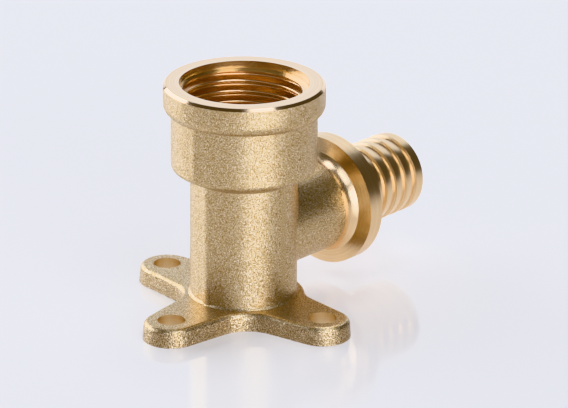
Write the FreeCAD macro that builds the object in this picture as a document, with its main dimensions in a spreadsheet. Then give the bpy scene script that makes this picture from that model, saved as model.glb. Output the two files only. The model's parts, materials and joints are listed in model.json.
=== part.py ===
import FreeCAD
import Part
import Sketcher
import math
import os

# Wall plate elbow: one brass forging, turned and drilled afterwards.
# A threaded socket stands on a three-lugged plate and a ribbed pipe spigot leaves it sideways.
# The origin is on the socket's axis at the plate's underside, +Z runs out of the socket
# and +X along the spigot.

# Driving sizes in millimetres, angles in degrees
SIZES = (
    ("overall_height", 38.9, "plate underside to socket face"),
    ("column_diameter", 17.4, "plain forged column"),
    ("column_root_bevel", 0.35, "bevel between column and plate"),
    ("collar_clearance", 1.87, "top of the neck to the foot of the collar"),
    ("thread_minor_diameter", 18.631, "G 1/2 thread, bored to its crests"),
    ("socket_floor", 1.8, "foot of the collar to the end of the thread bore"),
    ("collar_wall", 2.5, "thread crests to the collar's outside"),
    ("collar_cone_angle", 28.0, "rise of the collar's underside"),
    ("collar_round", 1.0, "rounding at the collar's lower edge"),
    ("rim_height", 4.95, "socket face to the rim's underside"),
    ("rim_step", 1.25, "how far the rim stands out from the collar"),
    ("rim_round", 1.7, "rounding at the rim's lower edge"),
    ("rim_chamfer", 0.42, "turned chamfer round the socket face"),
    ("mouth_step", 1.18, "width of the turned recess in the socket face"),
    ("mouth_depth", 1.2, "depth of that recess"),
    ("mouth_cone", 0.22, "fall of the recess floor towards the thread"),
    ("drill_angle", 31.0, "slope of the drill's point"),
    ("waterway_diameter", 12.0, "bore below the thread"),
    ("waterway_floor", 9.5, "plate underside to the end of that bore's wall"),
    ("plate_thickness", 3.0, "wall plate"),
    ("plate_margin", 1.5, "plate standing out from the column between the lugs"),
    ("plate_draft", 4.0, "forging draft of the plate's sides"),
    ("plate_edge_round", 0.85, "rounding along the plate's upper edge"),
    ("screw_hole_distance", 17.1, "column axis to each screw hole"),
    ("screw_hole_diameter", 4.5, "drilled screw hole"),
    ("lug_tip_radius", 4.6, "rounded end of each lug, about its hole"),
    ("lug_web_radius", 5.8, "hollow curve between lug and column"),
    ("outlet_height", 13.43, "plate underside to the spigot's axis"),
    ("neck_diameter", 15.6, "forged neck of the outlet"),
    ("neck_root_round", 0.9, "fillet between neck and column"),
    ("neck_reach", 16.3, "column axis to the end of the forged neck"),
    ("cove_length", 2.3, "turned hollow between neck and flange"),
    ("cove_rise", 0.73, "how far the hollow rises outwards"),
    ("cove_radius", 3.3, "radius of the hollow"),
    ("flange_diameter", 21.64, "stop flange"),
    ("flange_cone", 0.53, "depth of the flange's slightly conical front"),
    ("flange_width", 3.4, "flange rim, front edge to rear face"),
    ("flange_chamfer", 0.6, "chamfer of the flange's rear edge"),
    ("spigot_length", 15.0, "flange rear face to the spigot's end"),
    ("spigot_root_diameter", 12.7, "spigot between its ribs"),
    ("spigot_bore_diameter", 9.4, "waterway through the spigot"),
    ("rib_count", 5, "ribs on the spigot"),
    ("rib_height", 0.35, "height of a rib's shoulder"),
    ("rib_shoulder", 0.2, "length of the steep side that faces the flange"),
    ("rib_crest", 0.7, "flat top of a rib"),
    ("root_land", 2.87, "flange rear face to the first rib"),
    ("tip_land", 2.03, "last rib's shoulder to the spigot's end"),
    ("tip_chamfer", 0.2, "chamfers at the spigot's end"),
    ("flash_round", 2.5, "radius of the low ridge left where the forging flash was trimmed"),
    ("flash_height", 0.25, "height of that ridge on the column"),
    ("flash_height_collar", 0.12, "height of that ridge on the collar and neck"),
)

doc = FreeCAD.newDocument("wall_plate_elbow")
sheet = doc.addObject("Spreadsheet::Sheet", "dims")
for row, (alias, value, meaning) in enumerate(SIZES, start=1):
    sheet.set(f"A{row}", meaning)
    sheet.set(f"B{row}", str(value))
    sheet.setAlias(f"B{row}", alias)
doc.recompute()

body = doc.addObject("PartDesign::Body", "elbow_body")
body.Label = "elbow_body"

# Places worked out from the driving sizes, as expressions that the sketches share
COLUMN_RADIUS = "(dims.column_diameter / 2)"
THREAD_RADIUS = "(dims.thread_minor_diameter / 2)"
WATERWAY_RADIUS = "(dims.waterway_diameter / 2)"
COLLAR_RADIUS = f"({THREAD_RADIUS} + dims.collar_wall)"
RIM_RADIUS = f"({COLLAR_RADIUS} + dims.rim_step)"
MOUTH_RADIUS = f"({THREAD_RADIUS} + dims.mouth_step)"
NECK_RADIUS = "(dims.neck_diameter / 2)"
COLLAR_FOOT = f"(dims.outlet_height + {NECK_RADIUS} + dims.collar_clearance)"
COLLAR_EDGE = f"({COLLAR_FOOT} + ({COLLAR_RADIUS} - {COLUMN_RADIUS}) * tan(dims.collar_cone_angle))"
RIM_FOOT = "(dims.overall_height - dims.rim_height)"
RIM_SIDE = f"({RIM_FOOT} + sqrt(dims.rim_step * (2 * dims.rim_round - dims.rim_step)))"
DISC_RADIUS = f"({COLUMN_RADIUS} + dims.plate_margin)"
WEB_CENTRE = f"(({DISC_RADIUS} + dims.lug_web_radius) / sqrt(2))"
FLANGE_RADIUS = "(dims.flange_diameter / 2)"
ROOT_RADIUS = "(dims.spigot_root_diameter / 2)"
CREST_RADIUS = f"({ROOT_RADIUS} + dims.rib_height)"
BORE_RADIUS = "(dims.spigot_bore_diameter / 2)"
COVE_END = "(dims.neck_reach + dims.cove_length)"
FLANGE_FRONT = f"({COVE_END} + dims.flange_cone)"
FLANGE_REAR = f"({FLANGE_FRONT} + dims.flange_width)"
SPIGOT_END = f"({FLANGE_REAR} + dims.spigot_length)"
RIB_PITCH = "((dims.spigot_length - dims.root_land - dims.tip_land) / (dims.rib_count - 1))"

# Point numbers that a sketch uses for an edge's start, end and centre
START, END, CENTRE = 1, 2, 3
ORIGIN_POINT = (-1, 1)
TOLERANCE = 1e-4


def size(expression):
    """The present value of an expression on the sheet."""
    return float(body.evalExpression(expression))


def sketch_on(role, name, lift=None):
    """A sketch on one of the body's origin planes, raised along its own Y where asked."""
    sketch = body.newObject("Sketcher::SketchObject", name)
    plane = next(feature for feature in body.Origin.OriginFeatures if feature.Role == role)
    sketch.AttachmentSupport = [(plane, "")]
    sketch.MapMode = "FlatFace"
    if lift:
        sketch.setExpression("AttachmentOffset.Base.y", lift)
    return sketch


def bind(sketch, constraint, name, expression):
    """Add a dimension and tie it to the sheet."""
    index = sketch.addConstraint(constraint)
    sketch.renameConstraint(index, name)
    sketch.setExpression(f"Constraints.{name}", expression)


def place(sketch, edge, point, name, across, along):
    """Hold a sketch point at two distances from the sketch's origin."""
    across_rule = Sketcher.Constraint("DistanceX", *ORIGIN_POINT, edge, point, size(across))
    along_rule = Sketcher.Constraint("DistanceY", *ORIGIN_POINT, edge, point, size(along))
    bind(sketch, across_rule, f"{name}_across", across)
    bind(sketch, along_rule, f"{name}_along", along)


def arc_about(centre, start, end):
    """The counter-clockwise arc from start to end round a centre."""
    from_centre, to_end = start - centre, end - centre
    first = math.atan2(from_centre.y, from_centre.x)
    last = math.atan2(to_end.y, to_end.x)
    circle = Part.Circle(centre, FreeCAD.Vector(0, 0, 1), from_centre.Length)
    return Part.ArcOfCircle(circle, first, last if last > first else last + 2 * math.pi)


def outline(sketch, corners, rounds=None):
    """A closed outline through named corners, in order.

    An edge named in rounds, after the corner it leaves, is an arc of that radius. It turns left
    or right on its way to the next corner.
    """
    rounds = rounds or {}
    names = list(corners)
    points = [FreeCAD.Vector(size(across), size(along), 0) for across, along in corners.values()]
    ends = []
    for name, start, end in zip(names, points, points[1:] + points[:1]):
        if name not in rounds:
            edge = sketch.addGeometry(Part.LineSegment(start, end))
            ends.append((edge, START, END))
            continue
        radius, turn = rounds[name]
        chord = end - start
        left = FreeCAD.Vector(-chord.y, chord.x, 0) / chord.Length
        rise = math.sqrt(size(radius) ** 2 - chord.Length ** 2 / 4)
        centre = start + chord / 2 + left * (rise if turn == "left" else -rise)
        if turn == "left":
            edge = sketch.addGeometry(arc_about(centre, start, end))
            ends.append((edge, START, END))
        else:
            edge = sketch.addGeometry(arc_about(centre, end, start))
            ends.append((edge, END, START))
        bind(sketch, Sketcher.Constraint("Radius", edge, size(radius)), f"{name}_radius", radius)
    for (edge, _, last), (following, first, _) in zip(ends, ends[1:] + ends[:1]):
        sketch.addConstraint(Sketcher.Constraint("Coincident", edge, last, following, first))
    for name, (edge, first, _) in zip(names, ends):
        place(sketch, edge, first, name, *corners[name])


def turned(kind, name, sketch, axis):
    """A full turn of a sketch about one of its own axes, added or cut away."""
    feature = body.newObject(f"PartDesign::{kind}", name)
    feature.Profile = sketch
    feature.ReferenceAxis = (sketch, [axis])
    feature.Angle = 360
    doc.recompute()
    return feature


def dressed(kind, name, amount, is_wanted):
    """A fillet or chamfer on every edge of the solid so far that answers to the description."""
    base = body.Tip
    edges = [f"Edge{i}" for i, edge in enumerate(base.Shape.Edges, start=1) if is_wanted(edge)]
    feature = body.newObject(f"PartDesign::{kind}", name)
    feature.Base = (base, edges)
    feature.setExpression("Radius" if kind == "Fillet" else "Size", amount)
    doc.recompute()


def near(value, expression):
    """Whether a measured value is the one that the sheet gives."""
    return abs(value - size(expression)) < TOLERANCE


def middle(edge):
    """The point halfway along an edge."""
    return edge.valueAt((edge.FirstParameter + edge.LastParameter) / 2)


# Column, collar and rim: one forged profile about the socket's axis
column_sketch = sketch_on("XZ_Plane", "column_sketch")
column_corners = {
    "axis_foot": ("0", "0"),
    "column_base": (COLUMN_RADIUS, "0"),
    "collar_foot": (COLUMN_RADIUS, COLLAR_FOOT),
    "collar_edge": (COLLAR_RADIUS, COLLAR_EDGE),
    "rim_foot": (COLLAR_RADIUS, RIM_FOOT),
    "rim_side": (RIM_RADIUS, RIM_SIDE),
    "rim_edge": (RIM_RADIUS, "dims.overall_height - dims.rim_chamfer"),
    "face_edge": (f"{RIM_RADIUS} - dims.rim_chamfer", "dims.overall_height"),
    "axis_top": ("0", "dims.overall_height"),
}
outline(column_sketch, column_corners, {"rim_foot": ("dims.rim_round", "left")})
turned("Revolution", "column", column_sketch, "V_Axis")

# Wall plate: a disc round the column with three lugs, every curve tangent to the next.
# The hollow webs between the lugs just reach the disc, on the diagonals.
plate_sketch = sketch_on("XY_Plane", "plate_sketch")
hole_distance = size("dims.screw_hole_distance")
tip_radius = size("dims.lug_tip_radius")
web_radius = size("dims.lug_web_radius")
web_offset = size(WEB_CENTRE)
LUG_DIRECTIONS = (90, 180, 270)
WEB_DIRECTIONS = (45, 135, 225, 315)


def turned_by(degrees, across, along):
    """A point turned about the column's axis."""
    angle = math.radians(degrees)
    return FreeCAD.Vector(
        across * math.cos(angle) - along * math.sin(angle),
        across * math.sin(angle) + along * math.cos(angle),
        0,
    )


# The lug's side is the cross tangent of its round end and the web beside it
tip_to_web = math.hypot(web_offset, hole_distance - web_offset)
side_angle = math.acos((tip_radius + web_radius) / tip_to_web)
side_angle -= math.atan2(hole_distance - web_offset, web_offset)
normal_along, normal_across = math.sin(side_angle), math.cos(side_angle)
lug_side = {}
for direction in LUG_DIRECTIONS:
    for hand in (-1, 1):
        tip_point = (hole_distance + tip_radius * normal_along, hand * tip_radius * normal_across)
        web_point = (
            web_offset - web_radius * normal_along,
            hand * (web_offset - web_radius * normal_across),
        )
        lug_side[direction, hand] = (
            turned_by(direction, *web_point),
            turned_by(direction, *tip_point),
        )

disc_edge = plate_sketch.addGeometry(
    arc_about(
        FreeCAD.Vector(0, 0, 0),
        turned_by(WEB_DIRECTIONS[-1], size(DISC_RADIUS), 0),
        turned_by(WEB_DIRECTIONS[0], size(DISC_RADIUS), 0),
    )
)
plate_sketch.addConstraint(Sketcher.Constraint("Coincident", disc_edge, CENTRE, *ORIGIN_POINT))
disc_rule = Sketcher.Constraint("Radius", disc_edge, size(DISC_RADIUS))
bind(plate_sketch, disc_rule, "disc_radius", DISC_RADIUS)

tips, webs, sides = {}, {}, {}
for direction in LUG_DIRECTIONS:
    before, after = lug_side[direction, -1], lug_side[direction, 1]
    tips[direction] = plate_sketch.addGeometry(
        arc_about(turned_by(direction, hole_distance, 0), before[1], after[1])
    )
    sides[direction, -1] = plate_sketch.addGeometry(Part.LineSegment(*before))
    sides[direction, 1] = plate_sketch.addGeometry(Part.LineSegment(*after))
for direction in WEB_DIRECTIONS:
    centre = turned_by(direction, math.sqrt(2) * web_offset, 0)
    disc_point = turned_by(direction, size(DISC_RADIUS), 0)
    earlier = lug_side.get((direction - 45, 1), (disc_point, None))[0]
    later = lug_side.get((direction + 45, -1), (disc_point, None))[0]
    webs[direction] = plate_sketch.addGeometry(arc_about(centre, later, earlier))

# A web's arc runs against the outline, so its end meets the edge before it
for direction in LUG_DIRECTIONS:
    for hand in (-1, 1):
        arc_end = START if hand < 0 else END
        side, tip, web = sides[direction, hand], tips[direction], webs[direction + 45 * hand]
        plate_sketch.addConstraint(Sketcher.Constraint("Tangent", side, START, web, arc_end))
        plate_sketch.addConstraint(Sketcher.Constraint("Tangent", side, END, tip, arc_end))
first_web, last_web = webs[WEB_DIRECTIONS[0]], webs[WEB_DIRECTIONS[-1]]
plate_sketch.addConstraint(Sketcher.Constraint("Tangent", disc_edge, END, first_web, END))
plate_sketch.addConstraint(Sketcher.Constraint("Tangent", disc_edge, START, last_web, START))

for direction, edge in tips.items():
    unit = turned_by(direction, 1, 0)
    across = f"{round(unit.x)} * dims.screw_hole_distance"
    along = f"{round(unit.y)} * dims.screw_hole_distance"
    place(plate_sketch, edge, CENTRE, f"lug_{direction}", across, along)
    tip_rule = Sketcher.Constraint("Radius", edge, tip_radius)
    bind(plate_sketch, tip_rule, f"lug_{direction}_radius", "dims.lug_tip_radius")
for direction, edge in webs.items():
    web_rule = Sketcher.Constraint("Radius", edge, web_radius)
    bind(plate_sketch, web_rule, f"web_{direction}_radius", "dims.lug_web_radius")
    unit = turned_by(direction, math.sqrt(2), 0)
    across = f"{round(unit.x)} * {WEB_CENTRE}"
    along = f"{round(unit.y)} * {WEB_CENTRE}"
    if direction in (WEB_DIRECTIONS[0], WEB_DIRECTIONS[-1]):
        # The disc's tangent arc already gives this web its other distance
        across_rule = Sketcher.Constraint("DistanceX", *ORIGIN_POINT, edge, CENTRE, size(across))
        bind(plate_sketch, across_rule, f"web_{direction}_across", across)
    else:
        place(plate_sketch, edge, CENTRE, f"web_{direction}", across, along)

plate = body.newObject("PartDesign::Pad", "plate")
plate.Profile = plate_sketch
plate.setExpression("Length", "dims.plate_thickness")
plate.setExpression("TaperAngle", "-dims.plate_draft")
doc.recompute()

# Outlet: forged neck, turned hollow, stop flange and ribbed spigot about one axis
outlet_sketch = sketch_on("XZ_Plane", "outlet_sketch", "dims.outlet_height")
outlet_corners = {
    "axis_start": ("0", "0"),
    "neck_start": ("0", NECK_RADIUS),
    "neck_end": ("dims.neck_reach", NECK_RADIUS),
    "cove_end": (COVE_END, f"{NECK_RADIUS} + dims.cove_rise"),
    "flange_front": (FLANGE_FRONT, FLANGE_RADIUS),
    "flange_rear": (f"{FLANGE_REAR} - dims.flange_chamfer", FLANGE_RADIUS),
    "flange_back": (FLANGE_REAR, f"{FLANGE_RADIUS} - dims.flange_chamfer"),
    "spigot_root": (FLANGE_REAR, ROOT_RADIUS),
}
rib_count = int(size("dims.rib_count"))
for rib in range(rib_count):
    shoulder = f"({FLANGE_REAR} + dims.root_land + {rib} * {RIB_PITCH})"
    crest = f"{shoulder} + dims.rib_shoulder"
    outlet_corners[f"rib_{rib}_foot"] = (shoulder, ROOT_RADIUS)
    outlet_corners[f"rib_{rib}_crest"] = (crest, CREST_RADIUS)
    if rib < rib_count - 1:
        outlet_corners[f"rib_{rib}_slope"] = (f"{crest} + dims.rib_crest", CREST_RADIUS)
outlet_corners["tip_edge"] = (f"{SPIGOT_END} - dims.tip_chamfer", CREST_RADIUS)
outlet_corners["tip_face"] = (SPIGOT_END, f"{CREST_RADIUS} - dims.tip_chamfer")
outlet_corners["axis_end"] = (SPIGOT_END, "0")
outline(outlet_sketch, outlet_corners, {"neck_end": ("dims.cove_radius", "left")})
turned("Revolution", "outlet", outlet_sketch, "H_Axis")


# Forging rounds, before anything is cut, each limited to a share of the wall that it is rolled on
ROOT_SHARE, EDGE_SHARE, NECK_SHARE, COLLAR_SHARE = 0.3, 0.95, 0.6, 0.6
ROOT_BEVEL = f"min(dims.column_root_bevel; dims.plate_margin * {ROOT_SHARE})"
DRAFT_INSET = "dims.plate_thickness * tan(dims.plate_draft)"
EDGE_ROOM = f"min(dims.plate_margin - {ROOT_BEVEL} - {DRAFT_INSET}; dims.plate_thickness)"
EDGE_ROUND = f"min(dims.plate_edge_round; {EDGE_ROOM} * {EDGE_SHARE})"
NECK_ROUND = f"min(dims.neck_root_round; dims.collar_clearance * {NECK_SHARE})"
COLLAR_ROUND = f"min(dims.collar_round; ({COLLAR_RADIUS} - {COLUMN_RADIUS}) * {COLLAR_SHARE})"


def is_column_root(edge):
    point = middle(edge)
    return near(point.z, "dims.plate_thickness") and near(math.hypot(point.x, point.y), COLUMN_RADIUS)


def is_plate_edge(edge):
    box = edge.BoundBox
    level = near(box.ZMin, "dims.plate_thickness") and near(box.ZMax, "dims.plate_thickness")
    point = middle(edge)
    return level and math.hypot(point.x, point.y) > size(COLUMN_RADIUS) + size(ROOT_BEVEL) + TOLERANCE


def is_neck_root(edge):
    point = middle(edge)
    from_axis = math.hypot(point.y, point.z - size("dims.outlet_height"))
    return near(math.hypot(point.x, point.y), COLUMN_RADIUS) and near(from_axis, NECK_RADIUS)


def is_collar_edge(edge):
    point = middle(edge)
    return near(point.z, COLLAR_EDGE) and near(math.hypot(point.x, point.y), COLLAR_RADIUS)


dressed("Chamfer", "column_root", ROOT_BEVEL, is_column_root)
dressed("Fillet", "plate_edge", EDGE_ROUND, is_plate_edge)
dressed("Fillet", "neck_root", NECK_ROUND, is_neck_root)
dressed("Fillet", "collar_underside", COLLAR_ROUND, is_collar_edge)


# Trimmed flash: a low ridge on the parting plane, along column, collar and neck
def ridge(name, role, centre, start, end):
    """A round bar sunk in the wall, so that only a low ridge of it stands out."""
    sketch = sketch_on(role, f"{name}_sketch")
    sketch.setExpression("AttachmentOffset.Base.z", start)
    middle_point = FreeCAD.Vector(*(size(distance) for distance in centre), 0)
    bar_radius = size("dims.flash_round")
    bar = sketch.addGeometry(Part.Circle(middle_point, FreeCAD.Vector(0, 0, 1), bar_radius))
    place(sketch, bar, CENTRE, "bar", *centre)
    bind(sketch, Sketcher.Constraint("Radius", bar, bar_radius), "bar_radius", "dims.flash_round")
    pad = body.newObject("PartDesign::Pad", name)
    pad.Profile = sketch
    pad.setExpression("Length", f"{end} - ({start})")
    doc.recompute()
    return pad


column_bar = f"({COLUMN_RADIUS} + dims.flash_height - dims.flash_round)"
collar_bar = f"({COLLAR_RADIUS} + dims.flash_height_collar - dims.flash_round)"
neck_bar = f"({NECK_RADIUS} + dims.flash_height_collar - dims.flash_round)"
collar_start = f"({COLLAR_EDGE} + {COLLAR_ROUND} / 2)"
collar_stop = f"({RIM_FOOT} + dims.flash_height_collar)"
for hand, side in ((-1, "rear"), (1, "outlet")):
    column_centre = (f"{hand} * {column_bar}", "0")
    collar_centre = (f"{hand} * {collar_bar}", "0")
    ridge(f"flash_column_{side}", "XY_Plane", column_centre, "dims.plate_thickness / 2", COLLAR_EDGE)
    ridge(f"flash_collar_{side}", "XY_Plane", collar_centre, collar_start, collar_stop)
for hand, side in ((-1, "under"), (1, "over")):
    neck_centre = ("0", f"dims.outlet_height + {hand} * {neck_bar}")
    ridge(f"flash_neck_{side}", "YZ_Plane", neck_centre, COLUMN_RADIUS, "dims.neck_reach")

# Socket bore: recess, lead-in cone, thread bore and the waterway below it
socket_sketch = sketch_on("XZ_Plane", "socket_sketch")
thread_end = f"({COLLAR_FOOT} + dims.socket_floor)"
cone_top = "(dims.overall_height - dims.mouth_depth)"
outline(socket_sketch, {
    "axis_top": ("0", "dims.overall_height"),
    "mouth_edge": (MOUTH_RADIUS, "dims.overall_height"),
    "mouth_floor": (MOUTH_RADIUS, cone_top),
    "thread_start": (THREAD_RADIUS, f"{cone_top} - dims.mouth_cone"),
    "thread_end": (THREAD_RADIUS, thread_end),
    "waterway_top": (
        WATERWAY_RADIUS,
        f"{thread_end} - ({THREAD_RADIUS} - {WATERWAY_RADIUS}) * tan(dims.drill_angle)",
    ),
    "waterway_floor": (WATERWAY_RADIUS, "dims.waterway_floor"),
    "drill_point": ("0", f"dims.waterway_floor - {WATERWAY_RADIUS} * tan(dims.drill_angle)"),
})
turned("Groove", "socket_bore", socket_sketch, "V_Axis")

# Spigot bore, chamfered at its mouth
bore_sketch = sketch_on("XZ_Plane", "bore_sketch", "dims.outlet_height")
outline(bore_sketch, {
    "axis_start": ("0", "0"),
    "bore_start": ("0", BORE_RADIUS),
    "bore_edge": (f"{SPIGOT_END} - dims.tip_chamfer", BORE_RADIUS),
    "bore_mouth": (SPIGOT_END, f"{BORE_RADIUS} + dims.tip_chamfer"),
    "axis_end": (SPIGOT_END, "0"),
})
turned("Groove", "spigot_bore", bore_sketch, "H_Axis")

# Screw holes: one drilled through the lug on +Y, then copied round to the other two
hole_sketch = sketch_on("XY_Plane", "hole_sketch")
hole_edge = hole_sketch.addGeometry(
    Part.Circle(
        FreeCAD.Vector(0, hole_distance, 0),
        FreeCAD.Vector(0, 0, 1),
        size("dims.screw_hole_diameter / 2"),
    )
)
place(hole_sketch, hole_edge, CENTRE, "hole", "0", "dims.screw_hole_distance")
hole_rule = Sketcher.Constraint("Radius", hole_edge, size("dims.screw_hole_diameter / 2"))
bind(hole_sketch, hole_rule, "hole_radius", "dims.screw_hole_diameter / 2")
screw_hole = body.newObject("PartDesign::Pocket", "screw_hole")
screw_hole.Profile = hole_sketch
screw_hole.setExpression("Length", "dims.plate_thickness")
screw_hole.Reversed = True
doc.recompute()
screw_holes = body.newObject("PartDesign::PolarPattern", "screw_holes")
screw_holes.Originals = [screw_hole]
vertical = next(f for f in body.Origin.OriginFeatures if f.Role == "Z_Axis")
screw_holes.Axis = (vertical, [""])
screw_holes.Angle = LUG_DIRECTIONS[-1] - LUG_DIRECTIONS[0]
screw_holes.Occurrences = len(LUG_DIRECTIONS)
body.Tip = screw_holes
doc.recompute()

# Nothing is written unless every feature has worked
for item in doc.Objects:
    if "Invalid" in item.State or "Error" in item.State:
        raise RuntimeError(f"{item.Name} failed: {item.State}")
solid = body.Shape
if solid.isNull() or not solid.isValid() or len(solid.Solids) != 1:
    raise RuntimeError("the elbow is not one valid solid")
os.makedirs("parts", exist_ok=True)
solid.exportStep(f"parts/{body.Label}.step")
print(f"{body.Label}: {solid.Volume:.1f} mm3, {len(solid.Faces)} faces, {solid.BoundBox}")
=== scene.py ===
import json
import math

import bpy
from mathutils import Matrix, Vector


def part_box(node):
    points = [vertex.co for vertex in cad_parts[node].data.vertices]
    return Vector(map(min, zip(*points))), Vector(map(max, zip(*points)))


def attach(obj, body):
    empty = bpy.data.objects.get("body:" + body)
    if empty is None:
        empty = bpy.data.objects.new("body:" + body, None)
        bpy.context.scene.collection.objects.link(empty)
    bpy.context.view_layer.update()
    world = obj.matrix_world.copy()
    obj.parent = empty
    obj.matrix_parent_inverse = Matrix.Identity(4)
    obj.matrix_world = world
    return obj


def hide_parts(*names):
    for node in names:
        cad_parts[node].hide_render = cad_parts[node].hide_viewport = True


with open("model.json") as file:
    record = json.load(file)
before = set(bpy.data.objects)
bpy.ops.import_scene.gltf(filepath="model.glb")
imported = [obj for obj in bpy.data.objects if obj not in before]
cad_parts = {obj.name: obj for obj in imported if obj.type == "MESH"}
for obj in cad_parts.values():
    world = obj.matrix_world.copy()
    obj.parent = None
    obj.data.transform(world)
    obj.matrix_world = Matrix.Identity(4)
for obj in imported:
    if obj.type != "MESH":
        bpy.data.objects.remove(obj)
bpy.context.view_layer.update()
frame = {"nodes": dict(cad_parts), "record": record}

# Elbow body
# One hot brass forging: a three-lugged wall plate, a column with a threaded socket, and a side outlet.
# The flash is trimmed off and the skin sand-blasted. The socket, flange and spigot are then turned, and
# the screw holes drilled, all of them bright.
MM = 0.001
mounts = {mount["name"]: mount for mount in frame["record"]["mounts"]}
thread_radius = mounts["socket_thread"]["dims"]["r_mm"] * MM
thread_top = mounts["socket_thread"]["pos_m"][2]
thread_foot = thread_top - mounts["socket_thread"]["dims"]["length_mm"] * MM
outlet_height = mounts["pipe_spigot"]["pos_m"][2]
hole_radius = mounts["side_screw_holes"]["dims"]["hole_r_mm"] * MM
hole_distance = mounts["side_screw_holes"]["dims"]["spacing_y_mm"] * MM / 2
socket_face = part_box("elbow_body")[1].z
PLATE_THICKNESS = mounts["side_screw_holes"]["pos_m"][2]

elbow = bpy.data.objects.new("brass_elbow", frame["nodes"]["elbow_body"].data.copy())
bpy.context.collection.objects.link(elbow)


def take_up(piece):
    """Select one object alone and make it the active one."""
    bpy.ops.object.select_all(action="DESELECT")
    piece.select_set(True)
    bpy.context.view_layer.objects.active = piece


MERGE_DISTANCE = 0.001 * MM
take_up(elbow)
bpy.ops.mesh.customdata_custom_splitnormals_clear()
bpy.ops.object.mode_set(mode="EDIT")
bpy.ops.mesh.select_all(action="SELECT")
bpy.ops.mesh.remove_doubles(threshold=MERGE_DISTANCE)
bpy.ops.object.mode_set(mode="OBJECT")

# The G 1/2 thread is cut into the socket's plain bore by a ridge that climbs one pitch a turn.
# Crest and root have the same round. The last turn runs out through the recess floor, at the left, where
# its root lies a little below the top of the thread.
THREAD_PITCH = 1.814 * MM
THREAD_DEPTH = 1.162 * MM
THREAD_ROUND = 0.249 * MM
FLANK_ANGLE = 27.5
RIDGE_FOOT = 0.115 * MM
THREAD_TURNS = 6
RUN_OUT = 0.24 * MM
TURN_STEPS = 120
THREAD_START = math.radians(140)
ROUND_ANGLES = (FLANK_ANGLE, 50, 70, 86)
round_steps = [math.radians(angle) for angle in ROUND_ANGLES]
half_outline = [(THREAD_DEPTH, 0)]
for angle in reversed(round_steps):
    root_depth = THREAD_DEPTH - THREAD_ROUND * (1 - math.sin(angle))
    half_outline.append((root_depth, THREAD_ROUND * math.cos(angle)))
for angle in round_steps:
    crest_depth = THREAD_ROUND * (1 - math.sin(angle))
    half_outline.append((crest_depth, THREAD_PITCH / 2 - THREAD_ROUND * math.cos(angle)))
foot_half = half_outline[-1][1]
half_outline.append((-RIDGE_FOOT, foot_half))
ridge_outline = [(out, -up) for out, up in reversed(half_outline[1:])] + half_outline
bpy.ops.mesh.primitive_circle_add(vertices=len(ridge_outline), radius=THREAD_DEPTH)
ridge = bpy.context.object
for vertex, (outwards, up) in zip(ridge.data.vertices, ridge_outline):
    reach = thread_radius + outwards
    height = thread_top - RUN_OUT - THREAD_TURNS * THREAD_PITCH + up
    vertex.co = (reach * math.cos(THREAD_START), reach * math.sin(THREAD_START), height)
climb = ridge.modifiers.new("climb", "SCREW")
climb.axis = "Z"
climb.angle = math.tau
climb.screw_offset = THREAD_PITCH
climb.iterations = THREAD_TURNS
climb.steps = climb.render_steps = TURN_STEPS
climb.use_smooth_shade = False
bpy.ops.object.modifier_apply(modifier=climb.name)
bpy.ops.object.mode_set(mode="EDIT")
bpy.ops.mesh.select_all(action="SELECT")
bpy.ops.mesh.remove_doubles(threshold=MERGE_DISTANCE)
bpy.ops.mesh.fill_holes(sides=0)
bpy.ops.mesh.select_all(action="SELECT")
bpy.ops.mesh.normals_make_consistent(inside=False)
bpy.ops.object.mode_set(mode="OBJECT")

take_up(elbow)
cut = elbow.modifiers.new("thread", "BOOLEAN")
cut.operation = "DIFFERENCE"
cut.solver = "EXACT"
cut.object = ridge
bpy.ops.object.modifier_apply(modifier=cut.name)
bpy.data.objects.remove(ridge)


def linear(hex_colour):
    """An sRGB hex colour as the linear colour that a shader takes."""
    channels = [int(hex_colour[i:i + 2], 16) / 255 for i in (1, 3, 5)]
    curve = [c / 12.92 if c <= 0.04045 else ((c + 0.055) / 1.055) ** 2.4 for c in channels]
    return (*curve, 1.0)


def add_node(tree, kind, settings=None, values=None, links=None):
    """One shader node with its settings, the values on its sockets and what feeds them."""
    node = tree.nodes.new(kind)
    for name, setting in (settings or {}).items():
        setattr(node, name, setting)
    for socket, value in (values or {}).items():
        node.inputs[socket].default_value = value
    for socket, source in (links or {}).items():
        tree.links.new(source, node.inputs[socket])
    return node


def new_material(name):
    """A material with only its shader, and that shader's node tree."""
    material = bpy.data.materials.new(name)
    material.use_nodes = True
    return material, material.node_tree, material.node_tree.nodes["Principled BSDF"]


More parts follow.
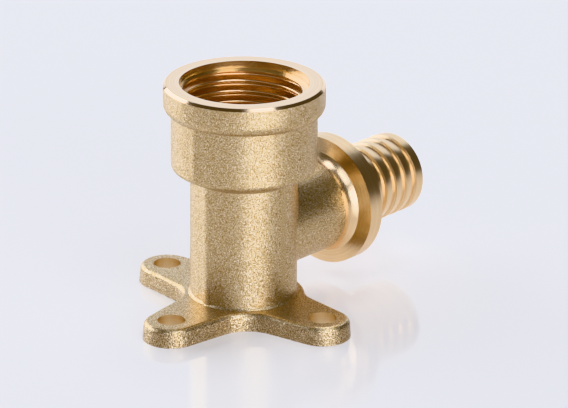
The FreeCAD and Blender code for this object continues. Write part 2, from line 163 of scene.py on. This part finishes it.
def sand_blasted_brass(name, tones, level_tilt, glint_tilt):
    """Forged brass after sand-blasting: a pale skin of tiny dents, a few of which glitter."""
    # The dents are about 0.1 mm across; they are drawn a little coarser, so that they show.
    DENT = 0.11 * MM
    GLINT = 0.15 * MM
    DENT_DEPTH = 0.014 * MM
    GLINT_SHARE = 0.2
    DULL, SHARP = 0.41, 0.3
    TONE_STEPS = (0.36, 0.5, 0.64)
    material, tree, skin = new_material(name)
    place = add_node(tree, "ShaderNodeTexCoord").outputs["Object"]
    dents = add_node(
        tree, "ShaderNodeTexNoise",
        values={"Scale": 1 / DENT, "Detail": 2.0, "Roughness": 0.6},
        links={"Vector": place},
    )
    ramp = add_node(tree, "ShaderNodeValToRGB", links={"Fac": dents.outputs["Fac"]})
    ramp.color_ramp.elements.new(TONE_STEPS[1])
    for element, position, tone in zip(ramp.color_ramp.elements, TONE_STEPS, tones):
        element.position = position
        element.color = linear(tone)
    grains = add_node(
        tree, "ShaderNodeTexVoronoi", values={"Scale": 1 / GLINT}, links={"Vector": place},
    )
    channels = add_node(tree, "ShaderNodeSeparateColor", links={"Color": grains.outputs["Color"]})
    glitters = {"From Min": 1 - GLINT_SHARE, "From Max": 1.0}
    tilt = add_node(
        tree, "ShaderNodeMapRange",
        values={**glitters, "To Min": level_tilt, "To Max": glint_tilt},
        links={"Value": channels.outputs["Red"]},
    )
    gloss = add_node(
        tree, "ShaderNodeMapRange",
        values={**glitters, "To Min": DULL, "To Max": SHARP},
        links={"Value": channels.outputs["Red"]},
    )
    turned_aside = add_node(
        tree, "ShaderNodeTexWhiteNoise", links={"Vector": grains.outputs["Position"]},
    )
    spread = add_node(
        tree, "ShaderNodeVectorMath", {"operation": "MULTIPLY_ADD"},
        {1: (2.0, 2.0, 2.0), 2: (-1.0, -1.0, -1.0)}, {0: turned_aside.outputs["Color"]},
    )
    lean = add_node(
        tree, "ShaderNodeVectorMath", {"operation": "SCALE"},
        links={0: spread.outputs["Vector"], "Scale": tilt.outputs["Result"]},
    )
    tilted = add_node(
        tree, "ShaderNodeVectorMath", {"operation": "ADD"},
        links={0: add_node(tree, "ShaderNodeNewGeometry").outputs["Normal"], 1: lean.outputs["Vector"]},
    )
    facets = add_node(
        tree, "ShaderNodeVectorMath", {"operation": "NORMALIZE"}, links={0: tilted.outputs["Vector"]},
    )
    bump = add_node(
        tree, "ShaderNodeBump", values={"Strength": 1.0, "Distance": DENT_DEPTH},
        links={"Height": dents.outputs["Fac"], "Normal": facets.outputs["Vector"]},
    )
    skin.inputs["Metallic"].default_value = 1.0
    tree.links.new(gloss.outputs["Result"], skin.inputs["Roughness"])
    tree.links.new(ramp.outputs["Color"], skin.inputs["Base Color"])
    tree.links.new(bump.outputs["Normal"], skin.inputs["Normal"])
    return material


def turned_brass(name, colours, roughness, shift=(0, 0, 0), turn=(0, 0, 0), stretch=(1, 1, 1)):
    """Brass fresh from the tool: a warm mirror with fine lines round the axis that it was turned on."""
    FEED = 0.11 * MM
    LINE_DEPTH = 0.001 * MM
    LINE_STEPS = (0.3, 0.7)
    material, tree, skin = new_material(name)
    place = add_node(tree, "ShaderNodeTexCoord").outputs["Object"]
    about_axis = add_node(
        tree, "ShaderNodeMapping",
        values={"Location": shift, "Rotation": turn, "Scale": stretch}, links={"Vector": place},
    )
    parts = add_node(tree, "ShaderNodeSeparateXYZ", links={"Vector": about_axis.outputs["Vector"]})
    flat = add_node(
        tree, "ShaderNodeCombineXYZ", links={"X": parts.outputs["X"], "Y": parts.outputs["Y"]},
    )
    radius = add_node(
        tree, "ShaderNodeVectorMath", {"operation": "LENGTH"}, links={0: flat.outputs["Vector"]},
    )
    across = add_node(
        tree, "ShaderNodeCombineXYZ", links={"X": radius.outputs["Value"], "Y": parts.outputs["Z"]},
    )
    lines = add_node(
        tree, "ShaderNodeTexNoise", {"noise_dimensions": "2D"},
        {"Scale": 1 / FEED, "Detail": 2.0}, {"Vector": across.outputs["Vector"]},
    )
    ramp = add_node(tree, "ShaderNodeValToRGB", links={"Fac": lines.outputs["Fac"]})
    for element, position, colour in zip(ramp.color_ramp.elements, LINE_STEPS, colours):
        element.position = position
        element.color = linear(colour)
    bump = add_node(
        tree, "ShaderNodeBump", values={"Strength": 1.0, "Distance": LINE_DEPTH},
        links={"Height": lines.outputs["Fac"]},
    )
    skin.inputs["Metallic"].default_value = 1.0
    skin.inputs["Roughness"].default_value = roughness
    tree.links.new(ramp.outputs["Color"], skin.inputs["Base Color"])
    tree.links.new(bump.outputs["Normal"], skin.inputs["Normal"])
    return material


# Each face takes the finish of the tool that made it, told by its place and the way it faces. The
# plate's side walls also get darker tones, a painted shade.
RIM_CHAMFER = 0.42 * MM
NECK_REACH = 16.3 * MM
COVE_END = 18.6 * MM
FLANGE_FRONT = 19.13 * MM
WATERWAY_RADIUS = 6.0 * MM
SPIGOT_BORE_RADIUS = 4.7 * MM
MOUTH_RADIUS = 10.5 * MM
EDGE_MARGIN = 0.02 * MM
DRILLED_CONE = 1.2 * THREAD_PITCH
UPRIGHT = 0.001
STEEP = 0.5
SKIN_TONES = ("#7A561E", "#CBA868", "#FFF6E2")
# The edge tones are darker than the skin's: painted shade on the plate's side walls, where they stand at
# the table.
EDGE_TONES_WITH_PAINTED_SHADE = ("#5A3E18", "#AC8A54", "#FFF0D2")
FACE_TONES = ("#F2D0A4", "#FEE4C2")
OUTLET_TONES = ("#EBC899", "#F4DAB2")
THREAD_TONES = ("#E4B784", "#F4D5AA")
HOLE_TONES = ("#EED4AA", "#FAE8C6")
RECESS_TONES = ("#DCBE8C", "#F0D8AC")
hole_centres = [Vector((0, hole_distance)), Vector((0, -hole_distance)), Vector((-hole_distance, 0))]
about_outlet = {"shift": (outlet_height, 0, 0), "turn": (0, math.radians(-90), 0)}
along_hole = {"stretch": (0, 0, 1)}
finishes = {
    "forged": sand_blasted_brass("sand_blasted_brass", SKIN_TONES, level_tilt=0.05, glint_tilt=0.15),
    "trimmed": sand_blasted_brass("trimmed_brass_edge_painted_shade", EDGE_TONES_WITH_PAINTED_SHADE, level_tilt=0.14, glint_tilt=0.36),
    "face": turned_brass("turned_brass_face", FACE_TONES, roughness=0.14),
    "recess": turned_brass("turned_brass_recess", RECESS_TONES, roughness=0.26),
    "thread": turned_brass("turned_brass_thread", THREAD_TONES, roughness=0.27),
    "cove": turned_brass("turned_brass_cove", OUTLET_TONES, roughness=0.26, **about_outlet),
    "front": turned_brass("turned_brass_front", OUTLET_TONES, roughness=0.2, **about_outlet),
    "outlet": turned_brass("turned_brass_outlet", OUTLET_TONES, roughness=0.28, **about_outlet),
    "hole": turned_brass("drilled_brass_holes", HOLE_TONES, roughness=0.3, **along_hole),
}
elbow.data.materials.clear()
for finish in finishes.values():
    elbow.data.materials.append(finish)


def finish_of(centre, normal):
    """The finish that a face has, by where its middle lies and which way it faces."""
    from_socket = math.hypot(centre.x, centre.y)
    from_outlet = math.hypot(centre.y, centre.z - outlet_height)
    faces_axis = centre.x * normal.x + centre.y * normal.y < 0
    if centre.z > socket_face - RIM_CHAMFER - EDGE_MARGIN and not faces_axis:
        return "face"
    if faces_axis and from_socket < MOUTH_RADIUS and normal.z < UPRIGHT and centre.z > thread_top:
        return "recess"
    if centre.x > NECK_REACH + EDGE_MARGIN:
        if centre.x < COVE_END - EDGE_MARGIN:
            return "cove"
        return "front" if centre.x < FLANGE_FRONT - EDGE_MARGIN else "outlet"
    if centre.x > WATERWAY_RADIUS / 2 and from_outlet < SPIGOT_BORE_RADIUS + EDGE_MARGIN:
        return "outlet"
    if from_socket < WATERWAY_RADIUS + EDGE_MARGIN and centre.z > PLATE_THICKNESS:
        return "thread"
    if from_socket < MOUTH_RADIUS + EDGE_MARGIN and centre.z > thread_top - EDGE_MARGIN:
        return "face"
    if from_socket < MOUTH_RADIUS + EDGE_MARGIN and centre.z > thread_foot:
        return "thread"
    if faces_axis and from_socket < thread_radius and centre.z > thread_foot - DRILLED_CONE:
        return "thread"
    if EDGE_MARGIN < centre.z < PLATE_THICKNESS - EDGE_MARGIN:
        flat = centre.to_2d()
        if min((flat - hole).length for hole in hole_centres) < hole_radius + EDGE_MARGIN:
            return "hole"
        # The plate's side walls: the trimmed edge's coarser glitter, with darker tones that paint the
        # shade at the table.
        if abs(normal.z) < STEEP:
            return "trimmed"
    return "forged"


finish_order = list(finishes)
for face in elbow.data.polygons:
    face.material_index = finish_order.index(finish_of(face.center, face.normal))

SMOOTH_ANGLE = math.radians(28)
take_up(elbow)
bpy.ops.object.shade_smooth_by_angle(angle=SMOOTH_ANGLE)
even = elbow.modifiers.new("even_shading", "WEIGHTED_NORMAL")
even.keep_sharp = True
bpy.ops.object.modifier_apply(modifier=even.name)
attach(elbow, "root")
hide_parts("elbow_body")

# Table
# A sheet of polished white acrylic that the elbow stands on, wide enough to fill the picture.
# A faint light from below keeps it white, and its polish mirrors the elbow softly.
TABLE_HALF = 2.5
TABLE_DROP = 0.02 * MM
bpy.ops.mesh.primitive_plane_add(size=2 * TABLE_HALF, location=(0, 0, -TABLE_DROP))
table = bpy.context.object
table.name = "table"
acrylic, _, acrylic_skin = new_material("polished_white_acrylic")
acrylic_skin.inputs["Base Color"].default_value = linear("#CECAC5")
acrylic_skin.inputs["Roughness"].default_value = 0.1
acrylic_skin.inputs["IOR"].default_value = 1.5
acrylic_skin.inputs["Emission Color"].default_value = linear("#FCF7FB")
acrylic_skin.inputs["Emission Strength"].default_value = 0.32
table.data.materials.append(acrylic)

# Camera
# A long lens looks down on the front lugs, a little left of the outlet, turned a touch off level.
CAMERA_AZIMUTH = math.radians(-48.456)
CAMERA_ELEVATION = math.radians(21.248)
CAMERA_ROLL = math.radians(0.52)
CAMERA_DISTANCE = 609.22 * MM
AIM_RIGHT = 6.492 * MM
AIM_HEIGHT = 18.097 * MM
LENS = 238.94
SENSOR = 36.0
NEAREST, FARTHEST = 0.05, 20
level_right = Vector((math.cos(CAMERA_AZIMUTH), math.sin(CAMERA_AZIMUTH), 0))
level_forward = Vector((-math.sin(CAMERA_AZIMUTH), math.cos(CAMERA_AZIMUTH), 0))
forward = level_forward * math.cos(CAMERA_ELEVATION) - Vector((0, 0, math.sin(CAMERA_ELEVATION)))
aim = level_right * AIM_RIGHT + Vector((0, 0, AIM_HEIGHT))
bpy.ops.object.camera_add(location=aim - forward * CAMERA_DISTANCE)
camera = bpy.context.object
camera.name = "photo_camera"
camera.data.sensor_width = SENSOR
camera.data.lens = LENS
camera.data.clip_start = NEAREST
camera.data.clip_end = FARTHEST
facing = forward.to_track_quat("-Z", "Y").to_matrix() @ Matrix.Rotation(CAMERA_ROLL, 3, "Z")
camera.rotation_euler = facing.to_euler()
bpy.context.scene.camera = camera

# Lights
# Large soft boxes round the table, and a dim room that shows as the dark bands on the turned faces.
# Each is placed by its bearing to the right of the camera and its height in degrees above the table.
SOFT_BOXES = {
    "key_box": {"bearing": 27, "height": 13, "away": 1.5, "wide": 1.3, "tall": 0.66, "glow": 6.3},
    "fill_box": {"bearing": -25, "height": 24, "away": 1.5, "wide": 2.2, "tall": 0.7, "glow": 0.6},
    "front_box": {"bearing": 38, "height": 56, "away": 1.5, "wide": 0.7, "tall": 0.8, "glow": 3.8},
    "back_box": {"bearing": 178, "height": 26, "away": 1.9, "wide": 2.4, "tall": 2.0, "glow": 1.15},
    "left_box": {"bearing": -117, "height": 22, "away": 1.7, "wide": 1.8, "tall": 1.2, "glow": 4.9},
    "top_box": {"bearing": 152, "height": 70, "away": 1.6, "wide": 0.42, "tall": 0.8, "glow": 6.5},
}
COOL_WHITE = "#E2ECFF"
for name, box in SOFT_BOXES.items():
    bearing = math.radians(box["bearing"])
    height = math.radians(box["height"])
    level = -level_forward * math.cos(bearing) + level_right * math.sin(bearing)
    direction = level * math.cos(height) + Vector((0, 0, math.sin(height)))
    bpy.ops.object.light_add(type="AREA", location=direction * box["away"])
    lamp = bpy.context.object
    lamp.name = name
    lamp.rotation_euler = (-direction).to_track_quat("-Z", "Y").to_euler()
    lamp.data.shape = "RECTANGLE"
    lamp.data.size = box["wide"]
    lamp.data.size_y = box["tall"]
    lamp.data.color = linear(COOL_WHITE)[:3]
    lamp.data.energy = box["glow"] * math.pi * box["wide"] * box["tall"]
    lamp.visible_camera = False

room = bpy.data.worlds.new("dim_room")
room.use_nodes = True
room.node_tree.nodes["Background"].inputs["Color"].default_value = linear("#988F80")
room.node_tree.nodes["Background"].inputs["Strength"].default_value = 0.3
bpy.context.scene.world = room
bpy.context.scene.view_settings.view_transform = "Khronos PBR Neutral"
